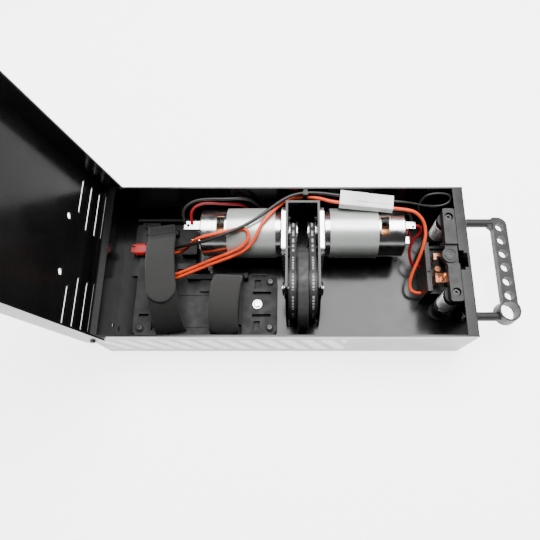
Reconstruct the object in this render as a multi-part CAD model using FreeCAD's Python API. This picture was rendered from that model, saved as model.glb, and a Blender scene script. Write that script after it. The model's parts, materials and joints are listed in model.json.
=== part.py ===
"""Starter box for model cars: sheet-steel case, hinged deck lid, two electric motors that drive
a rubber starter wheel through toothed belts, battery tray with straps, contact bar and handle.

Millimetres. +X runs from the hinge end to the handle end, +Y from front to back, +Z up.
The origin is the centre of the case's flat underside. The lid stands open, at its stop.
"""
import FreeCAD, Part
import math
import os

from FreeCAD import Vector

# Case
LENGTH = 310.0
WIDTH = 132.0
HEIGHT = 63.0
SHEET = 1.6
BEND = 4.0
FLANGE = 9.0
RETURN_DEPTH = 9.0
RETURN_SHEET = 1.2

# Lid, sized in its closed place
PIVOT_X = -150.5
PIVOT_Z = 55.5
OPEN_ANGLE = 100.5
LID_SHEET = 1.5
LID_UNDER = 63.5
LID_GAP = 0.6
LID_SKIRT = 19.0
SLOT_WIDTH = 2.6

# Drive
MID_X = 16.5
AXLE_Y = -19.5
AXLE_Z = 40.0
MOTOR_Y = 34.5
MOTOR_Z = 34.6
WHEEL_R = 35.0
WHEEL_WIDTH = 9.0
RIM_R = 29.0
AXLE_R = 4.0
PITCH = 3.0
BIG_TEETH = 51
SMALL_TEETH = 17
TIP_DROP = 0.38
BELT_FREE = 0.3
BELT_THICK = 1.3
BELT_IN = 5.6
BELT_OUT = 11.0
CHEEK_IN = 12.75
CHEEK = 2.0
MOUNT_PLATE = 3.45
BRACKET_BACK = 54.5
BRACKET_TOP = 60.0
RUNNING = 0.05

# Motor, measured back from its front face
CAN_R = 21.0
RING_R = 22.25
CAN_LENGTH = 69.9
RING_FROM = 5.7
RING_TO = 47.6
CAN_WALL = 1.8
SHAFT_R = 2.5

# Contact bar and its springs
BAR_X = 139.9
BAR_WIDTH = 10.0
BAR_TOP = 65.0
BAR_UNDER = 57.0
BAR_FRONT = -37.5
BAR_BACK = 44.5
POST_YS = (-29.8, 36.8)
COLLAR_R = 7.5
COLLAR_UNDER = 50.5
POST_TOP = 25.5
SPRING_R = 7.0
SPRING_WIRE = 1.5
SPRING_TURNS = 8
LATCH_Y = -1.7

# Handle
ARM_Y = 43.2
ARM_Z = 37.0
ARM_R = 3.9
GRIP_X = 192.3
GRIP_WIDTH = 12.5
GRIP_THICK = 8.0
HOLE_R = 4.0
HOLE_PITCH = 12.72
HOLE_FIRST_Y = 38.2
RING_X = 189.8
RING_Y = -39.5
RING_OUT_R = 9.2
RING_IN_R = 7.6
RING_LOW = 30.5
RING_HIGH = 44.0

TRAY_CENTRE = (-24.5, -24.8)

# Wiring
LEAD = 3.0
JUMPER = 2.6
THIN_LEAD = 2.0
DARK_LEAD = 2.6
CONNECTOR = Vector(71.6, 53.7, 58.9)
CONNECTOR_TURN = -6.6

BATTERY_BLACK = [(-126, 29.5, 13), (-113, 29.5, 13), (-101, 28, 15.5), (-94.7, 24.9, 27),
                 (-86.3, 20, 40.7), (-74.5, 16.8, 53.5), (-60.5, 18.3, 59.6), (-47, 23, 61.8),
                 (-34.5, 28.8, 62), (-22.7, 36.5, 61.5), (-11.8, 46, 60.6), (-1.6, 54.8, 59.9),
                 (9, 60.5, 59.7), (21, 62.2, 59.6), (32, 62, 59.3), (42.7, 60.57, 58.9),
                 (52.13, 59.48, 58.9)]
BATTERY_RED = [(-126, 24.5, 13), (-113, 24.5, 12.5), (-101.5, 23.4, 13), (-91, 22.2, 24),
               (-82, 22.3, 39.6), (-75.5, 21.3, 52.6), (-63, 22.8, 57.5), (-50.8, 25.7, 58.2),
               (-39, 28.3, 58.3), (-30.5, 28, 58.4), (-29.5, 20.5, 55.6), (-36, 14, 50.8),
               (-46.7, 11.6, 44.5), (-61.4, 8.5, 38.2), (-75.6, 5, 31.3), (-90.3, 1.8, 23.5),
               (-103, 0, 17), (-115, -1, 14)]
MAIN_RED = [(-115, -5, 11), (-103.2, -2.9, 14.2), (-90.8, -0.9, 21), (-76, 2.2, 28.8),
            (-61, 5.8, 35.5), (-46, 8.9, 41.8), (-31.5, 13.2, 48.3), (-24, 21, 55.6),
            (-20.5, 29, 59.3), (-15.9, 36.3, 60.3), (-9.5, 45, 58.3), (-3.2, 52.8, 55.3),
            (2.5, 58.2, 53.8), (11.5, 60.6, 54), (21.5, 60.3, 55), (32.5, 57.5, 57.3), (41.9, 53.61, 58.9),
            (51.33, 52.52, 58.9)]
JUMPER_BLACK = [(-86.5, 37.5, 48.2), (-89, 44.3, 54), (-84.5, 51, 57.8), (-75.6, 55.5, 58.6),
                (-63.5, 56.6, 58.6), (-51.3, 56.5, 58.4), (-39.2, 58, 57), (-31, 60, 51),
                (-26, 61.3, 41), (-22, 61.3, 29), (-11, 61.2, 17.5), (5, 61, 12.5),
                (25, 61.2, 11), (50, 61, 10.5), (75, 61, 11.5), (94, 60.5, 16.5),
                (107, 58.5, 26), (112, 54, 36.5), (112.8, 47.5, 44), (112.5, 39.8, 47.1)]
JUMPER_RED = [(-80.5, 37.5, 48.2), (-82, 44.5, 53), (-77.7, 51, 55.3), (-69, 54.3, 55.8),
              (-57.8, 54.5, 53.8), (-46, 55.5, 50.5), (-38, 58.5, 43.5), (-34, 60, 33),
              (-29.5, 59, 21.5), (-20, 57.6, 11), (-6, 57.3, 6.5), (12, 57.2, 5),
              (35, 57, 4.6), (60, 57, 4.8), (82, 57.5, 6.5), (98, 57, 10.5), (108.5, 52.5, 17.5),
              (112.2, 45, 25), (113, 36.5, 30.3), (112.3, 29.5, 35.5), (110.6, 25.5, 39.8)]
SUPPLY_BLACK = [(91.87, 54.88, 58.9), (103.8, 53.5, 58.9), (112, 53.2, 57.2), (121, 52.2, 55),
                (130, 51.8, 53.7), (138.5, 52.5, 53.7), (145.3, 55.2, 55.2), (146.3, 59.8, 57.9),
                (140, 61.5, 59.3), (131.5, 61.5, 59.6), (123.5, 60.2, 57.8), (119, 55.5, 50.5),
                (120.5, 50.3, 42.5), (125, 45, 34), (129.5, 38.5, 26), (131, 31.5, 20.5),
                (131, 24, 20)]
SUPPLY_RED = [(91.07, 47.9, 58.9), (103.5, 46.46, 58.9), (114.2, 45.3, 56.8), (122, 39.5, 51.5),
              (125, 30, 45.5), (122.6, 18.5, 40), (119, 8.5, 29.5), (114.6, -1, 21.5),
              (113.4, -9, 15), (116.5, -15, 12), (124, -15, 12)]
MOTOR_DARK_RED = [(115.3, 36.5, 47.1), (120.5, 36.2, 46.6), (121, 31.7, 41), (115.8, 28.8, 35.5),
                  (112.6, 21.5, 29.5), (114, 13.5, 22.5), (117.8, 8.5, 17.5), (124, 8.5, 17.5)]

Z_UP = Vector(0, 0, 1)
X_ON = Vector(1, 0, 0)
Y_BACK = Vector(0, 1, 0)

os.makedirs("parts", exist_ok=True)


def save(name, *shapes):
    """Write one node; several shapes stay separate solids."""
    solids = [solid for shape in shapes for solid in shape.Solids]
    for solid in solids:
        assert solid.isValid() and solid.Volume > 0, name
    whole = solids[0] if len(solids) == 1 else Part.makeCompound(solids)
    whole.exportStep(f"parts/{name}.step")
    print(f"{name}: {len(solids)} solid(s), {sum(s.Volume for s in solids):.1f} mm3")


def block(x, y, z):
    """A box from (low, high) pairs."""
    return Part.makeBox(x[1] - x[0], y[1] - y[0], z[1] - z[0], Vector(x[0], y[0], z[0]))


def rod(radius, start, end):
    """A cylinder between two points."""
    line = Vector(*end) - Vector(*start)
    return Part.makeCylinder(radius, line.Length, Vector(*start), line)


def tube(radius, bore, start, end):
    """A cylinder with a bore along its whole length."""
    return rod(radius, start, end).cut(rod(bore, start, end))


def fused(first, *rest):
    return first.fuse(list(rest)).removeSplitter() if rest else first


def prism(points, normal, depth):
    """A polygon pushed along its normal."""
    corners = [Vector(*p) for p in points]
    return Part.Face(Part.makePolygon(corners + corners[:1])).extrude(normal * depth)


def rounded(shape, radius, direction):
    """Round the straight edges that run along a direction."""
    edges = [e for e in shape.Edges if isinstance(e.Curve, Part.Line)
             and abs(e.tangentAt(e.FirstParameter).dot(direction)) > 0.999]
    return shape.makeFillet(radius, edges)


def slot(length_y, width_x, place, z):
    """A round-ended slot along Y, as a tool that cuts through the z range."""
    half = length_y / 2 - width_x / 2
    middle = block((place[0] - width_x / 2, place[0] + width_x / 2),
                   (place[1] - half, place[1] + half), z)
    ends = [rod(width_x / 2, (place[0], place[1] + side * half, z[0]),
                (place[0], place[1] + side * half, z[1])) for side in (-1, 1)]
    return middle.fuse(ends)


def cord(name, route, diameter):
    """A lead: straight runs joined by tangent arcs, as large as the runs allow."""
    points = [Vector(*p) for p in route]
    edges = []
    radii = []
    here = points[0]
    for before, corner, after in zip(points, points[1:], points[2:]):
        back = (before - corner).normalize()
        on = (after - corner).normalize()
        half_turn = (math.pi - back.getAngle(on)) / 2
        reach = 0.45 * min((before - corner).Length, (after - corner).Length)
        radius = reach / math.tan(half_turn)
        start = corner + back * reach
        end = corner + on * reach
        inward = (back + on).normalize()
        middle = corner + inward * (radius / math.cos(half_turn) - radius)
        edges.append(Part.LineSegment(here, start).toShape())
        edges.append(Part.Arc(start, middle, end).toShape())
        radii.append(radius)
        here = end
    edges.append(Part.LineSegment(here, points[-1]).toShape())
    path = Part.Wire(edges)
    ring = Part.Wire([Part.makeCircle(diameter / 2, points[0], points[1] - points[0])])
    solid = path.makePipeShell([ring], True, True)
    solid = solid if solid.ShapeType == "Solid" else Part.Solid(solid)
    share = solid.Volume / (math.pi * diameter ** 2 / 4 * path.Length)
    print(f"{name}: length {path.Length:.0f}, section share {share:.4f}, radii",
          [round(r, 1) for r in radii])
    save(name, solid)


# Case

def case_body():
    """Floor, front wall and back wall, folded from one sheet."""
    x = (-LENGTH / 2, LENGTH / 2)
    outside = block(x, (-WIDTH / 2, WIDTH / 2), (0, HEIGHT))
    low = [e for e in outside.Edges if abs(e.CenterOfMass.z) < 0.01
           and abs(abs(e.CenterOfMass.y) - WIDTH / 2) < 0.01]
    outside = outside.makeFillet(1.5, low)
    corner = [e for e in outside.Edges if abs(e.CenterOfMass.z - HEIGHT) < 0.01
              and abs(e.CenterOfMass.x + LENGTH / 2) < 0.01]
    outside = outside.makeFillet(BEND, corner)
    inside = block((x[0] - 1, x[1] + 1), (-WIDTH / 2 + SHEET, WIDTH / 2 - SHEET), (SHEET, HEIGHT + 1))
    body = outside.cut(inside)
    cuts = [rod(1.5, (PIVOT_X, -WIDTH, PIVOT_Z), (PIVOT_X, WIDTH, PIVOT_Z))]
    for x, y in bracket_screw_places() + [TRAY_CENTRE]:
        cuts.append(rod(2.0, (x, y, 0.4), (x, y, 3)))
    for x, y in tray_screw_places():
        cuts.append(rod(1.5, (x, y, 0.4), (x, y, 3)))
    return body.cut(cuts)


def end_wall(side):
    """An upright end with an inward top flange and two side returns. side is -1 at the hinge."""
    outer = side * LENGTH / 2
    inner = outer - side * SHEET
    flange_edge = outer - side * FLANGE
    reach_y = WIDTH / 2 - SHEET - 0.05
    x = sorted((outer, flange_edge))
    slab = block(x, (-reach_y, reach_y), (SHEET + 0.05, HEIGHT))
    top_edge = [e for e in slab.Edges if abs(e.CenterOfMass.z - HEIGHT) < 0.01
                and abs(e.CenterOfMass.x - outer) < 0.01]
    slab = slab.makeFillet(BEND if side < 0 else 1.0, top_edge)
    hollow_r = BEND - SHEET if side < 0 else 0.4
    hollow = block(sorted((inner, flange_edge - side)), (-reach_y - 1, reach_y + 1),
                   (SHEET - 1, HEIGHT - SHEET))
    hollow_edge = [e for e in hollow.Edges if abs(e.CenterOfMass.z - HEIGHT + SHEET) < 0.01
                   and abs(e.CenterOfMass.x - inner) < 0.01]
    wall = slab.cut(hollow.makeFillet(hollow_r, hollow_edge))
    depth = sorted((inner, inner - side * RETURN_DEPTH))
    for way in (-1, 1):
        face = way * reach_y
        wall = wall.fuse(block(depth, sorted((face, face - way * RETURN_SHEET)),
                               (SHEET + 0.05, HEIGHT - SHEET - 3)))
    return wall.removeSplitter()


def end_wall_left():
    wall = end_wall(-1)
    pivots = rod(1.55, (PIVOT_X, -WIDTH, PIVOT_Z), (PIVOT_X, WIDTH, PIVOT_Z))
    drain = rod(2.5, (-LENGTH / 2 - 1, -44, 9), (-LENGTH / 2 + 3, -44, 9))
    return wall.cut([pivots, drain])


def end_wall_right():
    """The handle end, with the stepped catch opening in its flange."""
    wall = end_wall(1)
    edge = LENGTH / 2 - FLANGE
    wide = block((edge - 1, 149.8), (LATCH_Y - 8.5, LATCH_Y + 8.5), (HEIGHT - 3, HEIGHT + 1))
    narrow = block((149, 152.6), (LATCH_Y - 6.2, LATCH_Y + 6.2), (HEIGHT - 3, HEIGHT + 1))
    stem = block((150, 157), (LATCH_Y - 2.9, LATCH_Y + 2.9), (35.6, 39.4))
    screws = [rod(2.05, (150, way * ARM_Y, ARM_Z), (157, way * ARM_Y, ARM_Z)) for way in (-1, 1)]
    return wall.cut([wide, narrow, stem] + screws)


# Lid

def opened(shape):
    """Turn a shape made in the closed place to where the open lid stands."""
    shape.rotate(Vector(PIVOT_X, 0, PIVOT_Z), Y_BACK, -OPEN_ANGLE)
    return shape


def lid():
    near = PIVOT_X - 5.0
    far = LENGTH / 2 + 2.0
    top = LID_UNDER + LID_SHEET
    half = WIDTH / 2 + LID_GAP + LID_SHEET
    outside = block((near, far), (-half, half), (top - LID_SKIRT, top))
    low_near = [e for e in outside.Edges if abs(e.CenterOfMass.x - near) < 0.01
                and abs(e.CenterOfMass.z - top + LID_SKIRT) < 0.01]
    outside = outside.makeFillet(4.5, low_near)
    upper = [e for e in outside.Edges if abs(e.CenterOfMass.z - top) < 0.01
             and abs(abs(e.CenterOfMass.y) - half) < 0.01]
    outside = outside.makeFillet(1.2, upper)
    inside = block((near - 1, far - LID_SHEET), (-half + LID_SHEET, half - LID_SHEET),
                   (0, LID_UNDER))
    end_cut = block((far - LID_SHEET - 1, far + 1), (-half + LID_SHEET, half - LID_SHEET),
                    (0, top - 12))
    shell = outside.cut([inside, end_cut])
    through = (LID_UNDER - 1, top + 1)
    cuts = [rod(1.5 + RUNNING, (PIVOT_X, -half - 1, PIVOT_Z), (PIVOT_X, half + 1, PIVOT_Z))]
    opening = block((MID_X - 14, MID_X + 14), (-50, 12), through)
    cuts.append(rounded(opening, 5, Z_UP))
    middle = (near + far) / 2
    for end in (-1, 1):
        for side in (-1, 1):
            for along, first in ((6.5, 20.0), (18.7, 20.0), (31.0, 30.5)):
                place_x = middle + end * (middle - PIVOT_X - along)
                place_y = side * (first + 60.5) / 2
                cuts.append(slot(60.5 - first, SLOT_WIDTH, (place_x, place_y), through))
            hole_x = middle + end * (middle - PIVOT_X - 42.0)
            cuts.append(rod(2.6, (hole_x, side * 23, through[0]), (hole_x, side * 23, through[1])))
    return opened(shell.cut(cuts))


def lid_striker():
    """A bent tab under the lid's far end, with the window that the catch enters."""
    y = (LATCH_Y - 5, LATCH_Y + 5)
    tab = block((146.6, 148.1), y, (39.2, LID_UNDER))
    foot = block((146.6, 153.0), y, (LID_UNDER - 1.5, LID_UNDER))
    window = block((146, 149), (LATCH_Y - 3, LATCH_Y + 3), (42.9, 47.7))
    return opened(fused(tab, foot).cut(window))


def lid_pivot_screws():
    """Button-head screws through the lid's skirt into the case."""
    screws = []
    for way in (-1, 1):
        seat = way * (WIDTH / 2 + LID_GAP + LID_SHEET + 0.3)
        end = way * (WIDTH / 2 - SHEET - 3.5)
        shank = rod(1.5, (PIVOT_X, seat, PIVOT_Z), (PIVOT_X, end, PIVOT_Z))
        head = rod(3.0, (PIVOT_X, seat, PIVOT_Z), (PIVOT_X, seat + way * 1.9, PIVOT_Z))
        rim = [e for e in head.Edges if abs(e.CenterOfMass.y - seat - way * 1.9) < 0.01]
        head = head.makeFillet(1.0, rim)
        key = hexagon(1.0, (PIVOT_X, seat + way * 0.8, PIVOT_Z), Vector(0, way, 0), 2.0)
        screws.append(fused(shank, head.cut(key)))
    return screws


def hexagon(half_flat, centre, axis, depth):
    """A hexagonal prism, for a key socket."""
    side = axis.cross(X_ON if abs(axis.x) < 0.5 else Z_UP)
    other = axis.cross(side)
    radius = half_flat / math.cos(math.pi / 6)
    corners = [Vector(*centre) + side * (radius * math.cos(k * math.pi / 3))
               + other * (radius * math.sin(k * math.pi / 3)) for k in range(6)]
    return Part.Face(Part.makePolygon(corners + corners[:1])).extrude(axis * depth)


def latch():
    """Push button outside, stem through the end wall, and a hook that catches the lid's tab."""
    y = (LATCH_Y - 2.5, LATCH_Y + 2.5)
    button = rounded(block((158.4, 161.4), (LATCH_Y - 6, LATCH_Y + 6), (32, 44)), 1.5, X_ON)
    stem = block((142.5, 158.4), y, (36, 39))
    upright = block((142.5, 145.3), y, (36, 50))
    nose = prism([(145.3, y[0], 46), (148.4, y[0], 46), (148.4, y[0], 47.2), (145.3, y[0], 49.5)],
                 Y_BACK, 5.0)
    return fused(button, stem, upright, nose)


# Drive

def motor_bracket():
    """Two cheeks joined by a back web and a floor plate."""
    floor = SHEET + 0.05
    profile = [(0, BRACKET_BACK, floor), (0, BRACKET_BACK, BRACKET_TOP), (0, -27.5, BRACKET_TOP),
               (0, -35, 45), (0, -42, 22), (0, -43.5, floor)]
    cheeks = []
    for way in (-1, 1):
        at = MID_X + (-CHEEK_IN - CHEEK if way < 0 else CHEEK_IN)
        cheek = prism([(at, y, z) for _, y, z in profile], X_ON, CHEEK)
        edge = [e for e in cheek.Edges if abs(e.CenterOfMass.y + 27.5) < 0.01
                and abs(e.CenterOfMass.z - BRACKET_TOP) < 0.01]
        cheeks.append(cheek.makeFillet(8, edge))
    x = (MID_X - CHEEK_IN, MID_X + CHEEK_IN)
    web = block(x, (BRACKET_BACK - CHEEK, BRACKET_BACK), (floor, BRACKET_TOP))
    plate = block(x, (-43.5, BRACKET_BACK), (floor, floor + CHEEK))
    body = fused(cheeks[0], cheeks[1], web, plate)
    across = (MID_X - 30, MID_X + 30)
    cuts = [rod(8.0, (across[0], AXLE_Y, AXLE_Z), (across[1], AXLE_Y, AXLE_Z)),
            rod(11.5, (across[0], MOTOR_Y, MOTOR_Z), (across[1], MOTOR_Y, MOTOR_Z))]
    for y in (MOTOR_Y - 14.5, MOTOR_Y + 14.5):
        cuts.append(rod(2.1, (across[0], y, MOTOR_Z), (across[1], y, MOTOR_Z)))
    for x, y in bracket_screw_places():
        cuts.append(rod(2.1, (x, y, 0), (x, y, 5)))
    return body.cut(cuts)


def bracket_screw_places():
    return [(MID_X + side * 8.5, y) for side in (-1, 1) for y in (22.0, 45.0)]


def floor_screw(x, y, seat, radius=2.0, head_r=3.6, head_h=2.2, end=0.4):
    """A button-head screw driven down; its end stops inside the floor."""
    shank = rod(radius, (x, y, end), (x, y, seat))
    head = rod(head_r, (x, y, seat), (x, y, seat + head_h))
    rim = [e for e in head.Edges if abs(e.CenterOfMass.z - seat - head_h) < 0.01]
    head = head.makeFillet(min(1.0, head_h * 0.45), rim)
    key = hexagon(head_r * 0.36, (x, y, seat + 0.8), Z_UP, head_h)
    return fused(shank, head.cut(key))


def motor_mount(way):
    """The aluminium plate between a cheek and a motor's face."""
    start = MID_X + way * (CHEEK_IN + CHEEK)
    end = MID_X + way * (CHEEK_IN + CHEEK + MOUNT_PLATE)
    plate = block(sorted((start, end)), (6, 51.5), (9, 58))
    plate = rounded(plate, 7, X_ON)
    cuts = [rod(9.0, (start - 10, MOTOR_Y, MOTOR_Z), (start + 10, MOTOR_Y, MOTOR_Z))]
    for y in (MOTOR_Y - 14.5, MOTOR_Y + 14.5):
        cuts.append(rod(2.1, (start - 10, y, MOTOR_Z), (start + 10, y, MOTOR_Z)))
    return plate.cut(cuts)


def face_x(way):
    """Where a motor's front face stands."""
    return MID_X + way * (CHEEK_IN + CHEEK + MOUNT_PLATE)


def motor_tube(way, radius, bore, start, end):
    """A ring round a motor's axis, between two distances behind its front face."""
    at = face_x(way)
    return tube(radius, bore, (at + way * start, MOTOR_Y, MOTOR_Z), (at + way * end, MOTOR_Y, MOTOR_Z))


def motor_rod(way, radius, start, end):
    at = face_x(way)
    return rod(radius, (at + way * start, MOTOR_Y, MOTOR_Z), (at + way * end, MOTOR_Y, MOTOR_Z))


def motor_can(way):
    """The drawn steel can with its nose bearing boss, screw holes and brush windows."""
    shell = motor_rod(way, CAN_R, 0, CAN_LENGTH)
    front = [e for e in shell.Edges if abs(e.CenterOfMass.x - face_x(way)) < 0.01]
    shell = shell.makeFillet(1.5, front)
    nose = motor_rod(way, 8.6, -3.2, 0)
    hollow = motor_rod(way, CAN_R - CAN_WALL, 2.2, CAN_LENGTH + 1)
    bore = motor_rod(way, SHAFT_R + RUNNING, -5, 5)
    can = shell.fuse(nose).cut([hollow, bore])
    cuts = []
    for y in (MOTOR_Y - 14.5, MOTOR_Y + 14.5):
        cuts.append(rod(2.0, (face_x(way) - 5, y, MOTOR_Z), (face_x(way) + 5, y, MOTOR_Z)))
    window = block(sorted((face_x(way) + way * 49.4, face_x(way) + way * 56.6)),
                   (MOTOR_Y - 10.0, MOTOR_Y + 7.7), (MOTOR_Z - CAN_R - 1, MOTOR_Z + CAN_R + 1))
    cuts.append(rounded(window, 1.2, Z_UP))
    return can.cut(cuts)


def motor_endbell(way):
    """The moulded brush holder that closes the can."""
    disc = motor_tube(way, CAN_R - CAN_WALL - 0.05, SHAFT_R + RUNNING, CAN_LENGTH - 7, CAN_LENGTH + 1.2)
    boss = motor_tube(way, 6.5, SHAFT_R + RUNNING, CAN_LENGTH + 1.2, CAN_LENGTH + 4.2)
    return fused(disc, boss)


def armature(way):
    """Shaft, laminated core, windings' end turns and commutator, which turn as one."""
    shaft = motor_rod(way, SHAFT_R, -14.0, CAN_LENGTH + 6)
    core = motor_rod(way, 15.5, 9, 44)
    turns = motor_rod(way, 12.5, 5, 48)
    commutator = motor_rod(way, 6.5, 48, 60)
    slots = [core_slot(way, k) for k in range(5)]
    return fused(shaft, core.fuse(turns).cut(slots).fuse(commutator))


def core_slot(way, number):
    at = face_x(way)
    x = sorted((at + way * 8, at + way * 49))
    tool = block(x, (MOTOR_Y - 1.2, MOTOR_Y + 1.2), (MOTOR_Z + 9, MOTOR_Z + 17))
    tool.rotate(Vector(at, MOTOR_Y, MOTOR_Z), X_ON, 72 * number)
    return tool


def toothed(centre_x, y, z, teeth, bore, flange_r):
    """A belt pulley between two flanges, centred on a belt."""
    radius = teeth * PITCH / (2 * math.pi) - TIP_DROP
    low = centre_x - (BELT_OUT - BELT_IN) / 2 - 0.3
    high = centre_x + (BELT_OUT - BELT_IN) / 2 + 0.3
    body = rod(radius, (low, y, z), (high, y, z))
    grooves = []
    for k in range(teeth):
        angle = 2 * math.pi * k / teeth
        place = (y + radius * math.cos(angle), z + radius * math.sin(angle))
        grooves.append(rod(0.85, (low - 1, *place), (high + 1, *place)))
    body = body.cut(Part.makeCompound(grooves))
    flanges = [rod(flange_r, (low - 0.6, y, z), (low, y, z)),
               rod(flange_r, (high, y, z), (high + 0.6, y, z))]
    hole = rod(bore, (low - 5, y, z), (high + 5, y, z))
    return body.fuse(flanges).cut(hole)


def belt_x(way):
    return MID_X + way * (BELT_IN + BELT_OUT) / 2


def belt_loop(way, big, small, inset):
    """The solid inside a belt's outline: two circles and the straight spans between them."""
    x = belt_x(way) - (BELT_OUT - BELT_IN) / 2 + inset
    width = BELT_OUT - BELT_IN - 2 * inset
    run_y = MOTOR_Y - AXLE_Y
    run_z = MOTOR_Z - AXLE_Z
    distance = math.hypot(run_y, run_z)
    lean = math.atan2(run_z, run_y)
    spread = math.acos((big - small) / distance)
    ends = []
    for sign in (1, -1):
        angle = lean + sign * spread
        ends.append(((AXLE_Y + big * math.cos(angle), AXLE_Z + big * math.sin(angle)),
                     (MOTOR_Y + small * math.cos(angle), MOTOR_Z + small * math.sin(angle))))
    (top_big, top_small), (low_big, low_small) = ends
    far_big = (AXLE_Y - big * math.cos(lean), AXLE_Z - big * math.sin(lean))
    far_small = (MOTOR_Y + small * math.cos(lean), MOTOR_Z + small * math.sin(lean))
    def point(p):
        return Vector(x, p[0], p[1])
    edges = [Part.LineSegment(point(top_big), point(top_small)).toShape(),
             Part.Arc(point(top_small), point(far_small), point(low_small)).toShape(),
             Part.LineSegment(point(low_small), point(low_big)).toShape(),
             Part.Arc(point(low_big), point(far_big), point(top_big)).toShape()]
    return Part.Face(Part.Wire(edges)).extrude(X_ON * width), ends


def drive_belt(way):
    """A toothed belt; its teeth show on the two free spans."""
    big = BIG_TEETH * PITCH / (2 * math.pi) - TIP_DROP + BELT_FREE
    small = SMALL_TEETH * PITCH / (2 * math.pi) - TIP_DROP + BELT_FREE
    outer, _ = belt_loop(way, big + BELT_THICK, small + BELT_THICK, 0)
    inner, spans = belt_loop(way, big, small, -1)
    belt = outer.cut(inner)
    x = (belt_x(way) - (BELT_OUT - BELT_IN) / 2, belt_x(way) + (BELT_OUT - BELT_IN) / 2)
    teeth = []
    for number, (near, far) in enumerate(spans):
        line = Vector(0, far[0] - near[0], far[1] - near[1])
        run = line.Length
        inward = -1 if number == 0 else 1
        for k in range(int((run - 14) / PITCH) + 1):
            along = 8.5 + k * PITCH
            tooth = block(x, (along - 0.7, along + 0.7), sorted((-inward * 0.2, inward * 1.1)))
            tooth.rotate(Vector(0, 0, 0), X_ON, math.degrees(math.atan2(line.z, line.y)))
            tooth.translate(Vector(0, near[0], near[1]))
            teeth.append(tooth)
    return belt.fuse(teeth)


def wheel_hub():
    """The moulded rim, web and centre that carry the tyre."""
    x = (MID_X - WHEEL_WIDTH / 2, MID_X + WHEEL_WIDTH / 2)
    y, z = AXLE_Y, AXLE_Z
    rim = tube(RIM_R, RIM_R - 4, (x[0], y, z), (x[1], y, z))
    web = tube(RIM_R - 3.5, AXLE_R, (MID_X - 2, y, z), (MID_X + 2, y, z))
    centre = tube(10, AXLE_R, (x[0] - 0.2, y, z), (x[1] + 0.2, y, z))
    return fused(rim, web, centre)


def wheel_tyre():
    y, z = AXLE_Y, AXLE_Z
    ring = rod(WHEEL_R, (MID_X - WHEEL_WIDTH / 2, y, z), (MID_X + WHEEL_WIDTH / 2, y, z))
    ring = ring.makeFillet(1.2, [e for e in ring.Edges if e.Closed])
    return ring.cut(rod(RIM_R, (MID_X - 10, y, z), (MID_X + 10, y, z)))


def axle_bearing(way):
    """A flanged ball bearing in a cheek, drawn as one ring."""
    y, z = AXLE_Y, AXLE_Z
    face = MID_X + way * (CHEEK_IN + CHEEK)
    body = tube(8.0, AXLE_R + RUNNING, (face - way * 2.3, y, z), (face + way * 0.9, y, z))
    flange = tube(8.8, AXLE_R + RUNNING, (face, y, z), (face + way * 0.9, y, z))
    return fused(body, flange)


def wheel_axle():
    return rod(AXLE_R, (MID_X - 17.6, AXLE_Y, AXLE_Z), (MID_X + 17.6, AXLE_Y, AXLE_Z)).cut(
        rod(1.0, (MID_X + 16.8, AXLE_Y, AXLE_Z), (MID_X + 18, AXLE_Y, AXLE_Z)))


def axle_retainer(way):
    """A clip ring at each end of the axle."""
    start = MID_X + way * (CHEEK_IN + CHEEK + 1.3)
    return tube(6.0, AXLE_R, (start, AXLE_Y, AXLE_Z), (start + way * 1.0, AXLE_Y, AXLE_Z))


def motor_screws():
    """Two per motor, through cheek and mount plate; heads between the cheeks."""
    screws = []
    for way in (-1, 1):
        for y in (MOTOR_Y - 14.5, MOTOR_Y + 14.5):
            seat = MID_X + way * CHEEK_IN
            tip = MID_X + way * (CHEEK_IN + CHEEK + MOUNT_PLATE + 2.0)
            head = rod(3.4, (seat - way * 1.9, y, MOTOR_Z), (seat, y, MOTOR_Z))
            shank = rod(2.0, (seat, y, MOTOR_Z), (tip, y, MOTOR_Z))
            key = hexagon(1.25, (seat - way * 2.0, y, MOTOR_Z), Vector(way, 0, 0), 1.2)
            screws.append(fused(head, shank).cut(key))
    return screws


def motor_terminals():
    """Spade terminals on the motors' tails, each with its hole."""
    left_end = face_x(-1) - CAN_LENGTH - 1.2
    right_end = face_x(1) + CAN_LENGTH + 1.2
    wide = block((left_end - 14.5, left_end), (32.5, 40.0), (47.2, 48.2))
    wide = wide.cut(rod(1.4, (left_end - 11, 36, 46), (left_end - 11, 36, 50)))
    lower = block((left_end - 8, left_end), (24.0, 25.0), (35.0, 42.5))
    right = block((right_end, right_end + 9.5), (33.5, 39.8), (46.6, 47.6))
    right = right.cut(rod(1.2, (right_end + 7.5, 35, 45), (right_end + 7.5, 35, 49)))
    second = block((right_end, right_end + 4.8), (22.5, 28.5), (39.3, 40.3))
    return [wide, lower, right, second]


# Battery tray

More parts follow.
